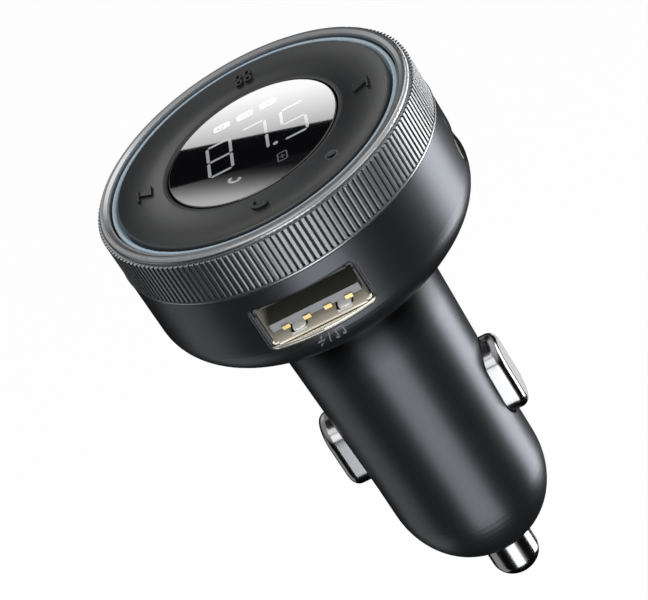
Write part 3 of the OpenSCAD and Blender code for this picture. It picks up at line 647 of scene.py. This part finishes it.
def display_light(name, base, colour, strength):
    finish = Finish(name, base, 0.03, ior=1.9, emission_color=colour, emission_strength=strength)
    finish.put("Roughness", finish.span(finish.noise(1.0), 0.02, 0.05))
    return finish


def display():
    """What the display shows. It returns the pieces, because the lens's lit cards fall on them too."""
    glow = display_light("display_glow", (0.10, 0.10, 0.10), (0.95, 0.97, 1.0), 0.23)
    bright = display_light("display_box", (0.02, 0.02, 0.022), (0.97, 0.98, 1.0), 0.32)
    dim = display_light("display_dim", (0.02, 0.02, 0.022), (0.95, 0.97, 1.0), 0.075)

    def shown(name, polys, light, thick=0.05, lift=0.008):
        return laid(name, polys, on_lens(lift), thick, light, "housing", edge=3.0)

    size = {"w": 3.1, "h": 6.7, "t": 0.42, "gap": 0.1}
    figures = []
    for which, x, y in (("abcdefg", -4.33, 0.0), ("abc", 0.47, 0.2), ("afgcd", 5.75, 0.18)):
        figures += moved(segments(which, **size), x, y)
    figures += disc(3.0, -2.9, 0.34)
    boxes = []
    for x, y in ((-3.6, 6.7), (-0.4, 6.7), (2.8, 6.8)):
        boxes.append([Vector(p) for p in rounded_box(x, y, 2.3, 1.4, 0.45)])
    marks = stroke([(-4.1, 6.95), (-4.1, 6.55), (-3.75, 6.4), (-3.4, 6.55), (-3.4, 6.95)], 0.16)
    marks += stroke([(-0.8, 6.95), (-0.8, 6.4)], 0.16) + stroke([(-0.45, 6.95), (-0.45, 6.4)], 0.16)
    marks += stroke([(-0.1, 6.95), (0.2, 6.95), (0.2, 6.4), (-0.1, 6.4)], 0.16)
    marks += ring(2.55, 6.8, 0.22, 0.14) + ring(3.05, 6.8, 0.22, 0.14)
    # A plus in a box
    badge = stroke(rounded_box(3.6, -6.45, 1.2, 1.75, 0.25), 0.2, closed=True)
    badge += stroke([(3.6, -6.05), (3.6, -6.85)], 0.18) + stroke([(3.28, -6.45), (3.92, -6.45)], 0.18)
    return [
        shown("display_figures", figures, glow),
        shown("display_boxes", boxes, bright),
        shown("display_box_marks", marks, dim, 0.03, 0.012),
        shown("display_handset", handset(-2.55, -5.9, 0.78), glow),
        shown("display_badge", badge, dim),
    ]


def key_icons():
    """Raised symbols on the key ring in its own plastic, with painted shade: black on the sides towards
    the phone symbol.
    """
    rise, sunk = 0.28, 0.05
    # Painted shade on the sides of the symbols that face -Y, towards the phone symbol
    dark = Finish("key_icon_shaded_sides", (0.004, 0.004, 0.005), 0.35)
    dark.vary(dark.noise(0.5), 0.1, 0.05)
    place = on_top("key_ring", rise)

    def raised(name, polys):
        laid(name, polys, place, rise + sunk, key_finish, "key_ring", side=dark)

    loops = []
    for x in (-0.62, 0.64):
        for y in (15.2, 16.4):
            loops += stroke(rounded_box(x, y, 0.72, 0.92, 0.3), 0.28, closed=True)
    raised("icon_mode", loops)
    arrow = ((13.75, -0.4), (15.45, 0.7), (13.75, 1.8))
    bar = ((15.45, -0.5), (15.72, -0.5), (15.72, 1.9), (15.45, 1.9))
    for name, sign in (("icon_next", 1), ("icon_previous", -1)):
        raised(name, [[Vector((sign * x, y)) for x, y in outline] for outline in (arrow, bar)])
    raised("icon_phone", handset(0.1, -13.3, 1.0))


def port_symbols():
    """Printed beside the front port: a bolt, a stroke and two joined notes. Over the side port: a bolt."""
    ink = Finish("printed_grey", (0.10, 0.102, 0.106), 0.45)
    ink.vary(ink.noise(0.3), 0.12, 0.05)

    def printed(name, polys, turn, height):
        laid(name, polys, on_wall("head_housing", turn, height), 0.04, ink, "housing", edge=0.3)

    half = ((0.42, 0.85), (-0.45, -0.14), (0.05, -0.04))
    bolt = [[Vector((sign * x, sign * y)) for x, y in half] for sign in (1, -1)]
    signs = moved(bolt, -1.4, 0, 1.3)
    signs += stroke([(-0.05, 0.85), (-0.55, -0.85)], 0.15)
    signs += stroke([(0.72, -0.6), (0.72, 0.8), (1.7, 0.8), (1.7, -0.45)], 0.18)
    signs += disc(0.53, -0.62, 0.25) + disc(1.51, -0.48, 0.25)
    printed("front_port_symbols", signs, 0.4, 38.35)
    printed("side_port_symbol", moved(bolt, 0, 0, 0.8), 87.0, 45.6)


display_pieces = display()
key_icons()
port_symbols()


# Lamps, each turned to the middle of the part

CENTRE = Vector((0, 0, 0.022))
WHITE = (1, 1, 1)
COOL = (0.97, 0.985, 1.0)
KNURL = [nodes["knurled_ring"]]
CHROME = [nodes[name] for name in CHROME_NODES]
# Name, turn and rise in degrees, distance, width and height in metres, radiance, colour, and the only
# pieces that it lights, where there are such
LAMPS = (
    ("strip_front", 5, -29, 0.50, 0.30, 0.52, 2.6, COOL, None),
    ("strip_right", 114, -22, 0.50, 0.25, 0.46, 6.3, COOL, None),
    ("strip_left", -95, -31, 0.50, 0.30, 0.50, 0.5, (0.97, 0.99, 1.0), None),
    ("overhead", -20, 56, 0.9, 0.6, 0.5, 1.3, WHITE, None),
    ("front_fill", 5, 26, 0.8, 0.4, 0.3, 9.0, WHITE, None),
    ("ribs_right", 72, -3, 0.6, 1.2, 0.12, 3.8, WHITE, KNURL),
    ("ribs_back", 145, -14, 0.6, 0.5, 0.22, 3.0, WHITE, KNURL),
    ("rim_back", 152, 40, 0.6, 0.22, 0.44, 1.6, WHITE, KNURL),
    ("chrome_low", 168, -31, 0.6, 0.10, 0.35, 1.2, WHITE, CHROME),
    ("chrome_front", 14, -28, 0.6, 0.42, 0.40, 0.5, WHITE, CHROME),
    ("chrome_upper", -6, 20, 0.6, 0.42, 0.34, 1.8, WHITE, CHROME),
    ("head_back", 142, 44, 0.6, 0.20, 0.22, 0.4, WHITE, None),
)


def direction(turn, rise):
    """From the part's middle: the turn is from the front towards +X, the rise is upward, in degrees."""
    a, e = math.radians(turn), math.radians(rise)
    return Vector((math.sin(a) * math.cos(e), -math.cos(a) * math.cos(e), math.sin(e)))


def only_on(light, pieces):
    """The light falls on these pieces alone."""
    group = bpy.data.collections.new(light.name + "_on")
    for piece in pieces:
        group.objects.link(piece)
    light.light_linking.receiver_collection = group


def softbox(name, turn, rise, distance, width, height, radiance, colour):
    outward = direction(turn, rise)
    lamp = bpy.data.lights.new(name, "AREA")
    lamp.shape = "RECTANGLE"
    lamp.size = width
    lamp.size_y = height
    lamp.energy = radiance * math.pi * width * height
    lamp.color = colour
    obj = bpy.data.objects.new(name, lamp)
    facing = (-outward).to_track_quat("-Z", "Y").to_matrix().to_4x4()
    obj.matrix_world = Matrix.Translation(CENTRE + outward * distance) @ facing
    obj.visible_camera = False
    scene.collection.objects.link(obj)
    return obj


for *settings, pieces in LAMPS:
    lamp = softbox(*settings)
    # This one brightens the front, and no reflection shows it
    if lamp.name == "front_fill":
        lamp.visible_glossy = False
    if pieces:
        only_on(lamp, pieces)


# Stage

def bare_material(name):
    """A material with no shader yet, and its node tree."""
    material = bpy.data.materials.new(name)
    material.use_nodes = True
    material.node_tree.nodes.remove(material.node_tree.nodes["Principled BSDF"])
    return material, Net(material.node_tree)


def stage_mesh(name, mesh_source, material, glossy_only):
    mesh = bpy.data.meshes.new(name)
    mesh_source.to_mesh(mesh)
    mesh_source.free()
    mesh.materials.append(material)
    obj = bpy.data.objects.new(name, mesh)
    scene.collection.objects.link(obj)
    if glossy_only:
        obj.visible_camera = False
        obj.visible_diffuse = False
        obj.visible_transmission = False
        obj.visible_volume_scatter = False
        obj.visible_shadow = False
    return obj


def white_to_eyes(net, white, plain, surface, strength):
    """White for the camera and for reflections, and plain for the light that falls on things."""
    ray = net.add("ShaderNodeLightPath").outputs
    seen = net.calc("MAXIMUM", ray["Is Camera Ray"], ray["Is Glossy Ray"])
    seen = net.calc("MAXIMUM", seen, ray["Is Transmission Ray"])
    mix = net.add("ShaderNodeMixShader")
    net.feed(mix.inputs[0], net.calc("MULTIPLY", seen, strength))
    net.feed(mix.inputs[1], plain)
    net.feed(mix.inputs[2], white)
    net.feed(surface, mix.outputs[0])


def floor():
    finish = Finish("pale_floor", (0.88, 0.88, 0.88), 0.9, specular_ior_level=0.1)
    patches = finish.add("ShaderNodeTexNoise")
    finish.feed(patches.inputs["Scale"], 3.0)
    finish.put("Base Color", finish.mix(patches.outputs["Fac"], (0.86, 0.86, 0.86), (0.9, 0.9, 0.9)))
    white = finish.add("ShaderNodeEmission")
    finish.feed(white.inputs["Strength"], 1.02)
    white_to_eyes(finish, white.outputs[0], finish.main.outputs[0], finish.surface(), 0.93)
    grid = bmesh.new()
    low = Matrix.Translation((0, 0, -0.46))
    bmesh.ops.create_grid(grid, x_segments=4, y_segments=4, size=30.0, matrix=low)
    stage_mesh("floor", grid, finish.material, False)


# Turn, rise, angle of the even middle, angle of the outer edge, share beyond the edge, share in the middle
TENT_SPOTS = (
    (100, 40, 15, 60, 0.48, 0.8),
    (207, 25, 5, 26, 1.0, 2.1),
    (168, 33, 12, 32, 1.0, 0.03),
)


def tent():
    """A tent round the object and its lamps, that only reflections see: black low down and grey above."""
    material, net = bare_material("tent_cloth")
    place = net.add("ShaderNodeNewGeometry").outputs["Position"]
    facing = net.vector("NORMALIZE", place)
    level = net.span(net.split(place)[2], 0.0, 1.0, 0.04, 0.5)
    for turn, rise, inner, outer, beyond, middle in TENT_SPOTS:
        near = net.vector("DOT_PRODUCT", facing, direction(turn, rise))
        edge, core = math.cos(math.radians(outer)), math.cos(math.radians(inner))
        level = net.calc("MULTIPLY", level, net.span(near, beyond, middle, edge, core))
    net.glow(WHITE, level)
    ball = bmesh.new()
    bmesh.ops.create_uvsphere(ball, u_segments=48, v_segments=24, radius=1.5)
    for vert in ball.verts:
        vert.co.z = max(vert.co.z, -0.44)
    stage_mesh("tent", ball, material, True)


def world():
    studio = bpy.data.worlds.new("studio")
    scene.world = studio
    studio.use_nodes = True
    net = Net(studio.node_tree)
    net.tree.nodes.clear()
    shades = []
    for colour, strength in ((WHITE, 1.0), ((0.95, 0.97, 1.0), 0.55)):
        shade = net.add("ShaderNodeBackground")
        net.feed(shade.inputs[0], colour)
        net.feed(shade.inputs[1], strength)
        shades.append(shade.outputs[0])
    output = net.add("ShaderNodeOutputWorld")
    white_to_eyes(net, shades[0], shades[1], output.inputs["Surface"], 1.0)


# Cards that the lens reflects: distances behind it in metres, and outlines and light in millimetres on it
CARD_FAR = 0.45
BLACK_CARD_FAR = 0.5
BLACK_CARD_R = 14
WHITE_CARD = ((-9.02, 6.06), (10.5, -3.94), (22.0, -9.8), (22.0, 22.0), (-16, 22), (-16.0, 9.6))
WHITE_LIGHT = ((0.0, 1.44), (3.65, 8.56), (0.89, -0.456))
WHITE_RAMP = ((0.0, 0.485), (0.5, 0.74), (1.0, 1.0))
GREY_CARD = ((-11.33, -1.23), (-16, 1.9), (-16, -20), (14, -20), (14.0, -12.9), (7.32, -8.4))
GREY_LIGHT = ((-2.76, -4.17), (-5.8, -8.75), (0.83, -0.55))
GREY_RAMP = ((0.0, 0.01), (0.2, 0.07), (0.4, 0.22), (0.6, 0.45), (0.8, 0.74), (1.0, 1.0))


def seen_in_lens(x, y, far):
    """The point that the camera sees reflected at (x, y) on the lens, on a plane that far behind it."""
    middle = Vector((0, 0, LENS_TOP))
    eye = camera.matrix_world.translation
    mirrored = Vector((eye.x, eye.y, 2 * LENS_TOP - eye.z))
    look = (middle - mirrored).normalized()
    ray = Vector((x * MM, y * MM, LENS_TOP)) - mirrored
    return mirrored + ray * ((middle + look * far - mirrored).dot(look) / ray.dot(look))


def card_light(name, run, ramp, strength):
    """Light that runs from a first to a second place on the lens, and is even along a third direction."""
    (x, y), end, (even_x, even_y) = run
    start = seen_in_lens(x, y, CARD_FAR)
    reach = seen_in_lens(*end, CARD_FAR) - start
    even = (seen_in_lens(x + even_x, y + even_y, CARD_FAR) - start).normalized()
    across = reach - reach.dot(even) * even
    material, net = bare_material(name)
    off = net.vector("SUBTRACT", net.add("ShaderNodeNewGeometry").outputs["Position"], start)
    shades = net.add("ShaderNodeValToRGB")
    points = shades.color_ramp.elements
    while len(points) < len(ramp):
        points.new(0.5)
    for point, (position, value) in zip(points, ramp):
        point.position = position
        point.color = (value, value, value, 1)
    net.feed(shades.inputs[0], net.vector("DOT_PRODUCT", off, across / across.dot(reach)))
    net.glow(shades.outputs[0], strength)
    return material


def lens_card(name, corners, far, material):
    card = bmesh.new()
    card.faces.new([card.verts.new(seen_in_lens(x, y, far)) for x, y in corners])
    only_on(stage_mesh(name, card, material, True), [nodes["display_lens"], *display_pieces])


def lens_cards():
    """Cards behind the object, cut so that their reflections cross the lens where the studio's do."""
    white = card_light("card_white", WHITE_LIGHT, WHITE_RAMP, 6.0)
    lens_card("softbox_behind", WHITE_CARD, CARD_FAR, white)
    grey = card_light("card_grey", GREY_LIGHT, GREY_RAMP, 2.6)
    lens_card("softbox_low", GREY_CARD, CARD_FAR, grey)
    black = Finish("black_card", (0, 0, 0), 0.5, specular_ior_level=0.0)
    edge = arc(0, 0, BLACK_CARD_R, 0, 360, 32)[:-1]
    lens_card("card_behind", edge, BLACK_CARD_FAR, black.material)


floor()
tent()
world()
lens_cards()
